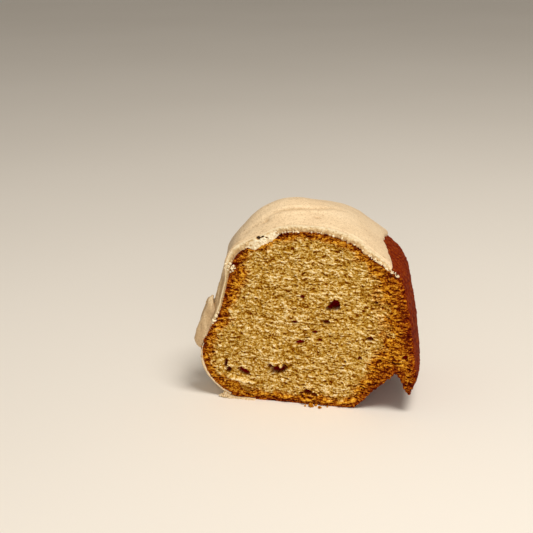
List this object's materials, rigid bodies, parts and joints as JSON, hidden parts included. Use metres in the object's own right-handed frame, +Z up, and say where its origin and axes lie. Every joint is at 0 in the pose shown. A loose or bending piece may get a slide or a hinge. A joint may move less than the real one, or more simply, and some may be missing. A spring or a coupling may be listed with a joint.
{
  "type": "bundt cake slice",
  "caption": "Slice of a glazed fluted ring cake, standing on its base with a wide cut face to each side and glaze over the crown.",
  "frame": {"origin": "middle of the bottom of the slice's bounding box, on the surface it stands on", "axes": "+X runs from the ring's centre hole outwards along the middle of the slice, +Z is up, and the cut faces look along about -Y and +Y"},
  "size_m": [0.0946, 0.056, 0.0831],
  "materials": {
    "crumb": "golden open crumb with a browned crust",
    "glaze": "set sugar glaze, satin"
  },
  "bodies": {
    "root": {"cake": "crumb", "glaze": "glaze", "glaze_pool": "glaze"}
  },
  "joints": []
}
